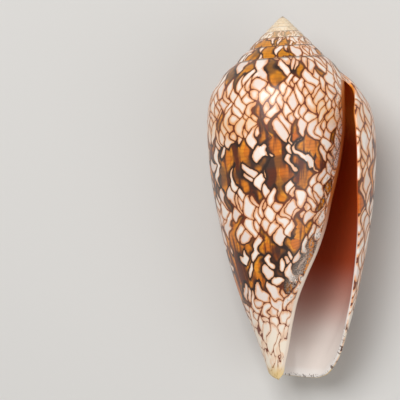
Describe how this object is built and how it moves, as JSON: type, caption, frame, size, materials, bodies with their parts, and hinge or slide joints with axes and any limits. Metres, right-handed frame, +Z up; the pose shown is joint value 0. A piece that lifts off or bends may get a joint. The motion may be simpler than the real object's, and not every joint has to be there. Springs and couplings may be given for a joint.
{
  "type": "cone shell",
  "caption": "Cone-shaped sea snail shell with a stepped spire and a long open mouth, lying on its back with the mouth up.",
  "frame": {"origin": "on the surface that the shell lies on, below the middle of its bounding box", "axes": "+Y along the shell towards the tip of its spire, +X towards the outer lip's side, +Z up out of the mouth"},
  "size_m": [0.042, 0.0896, 0.039],
  "materials": {
    "shell": "gloss"
  },
  "bodies": {
    "root": {"cone_shell": "shell"}
  },
  "joints": []
}
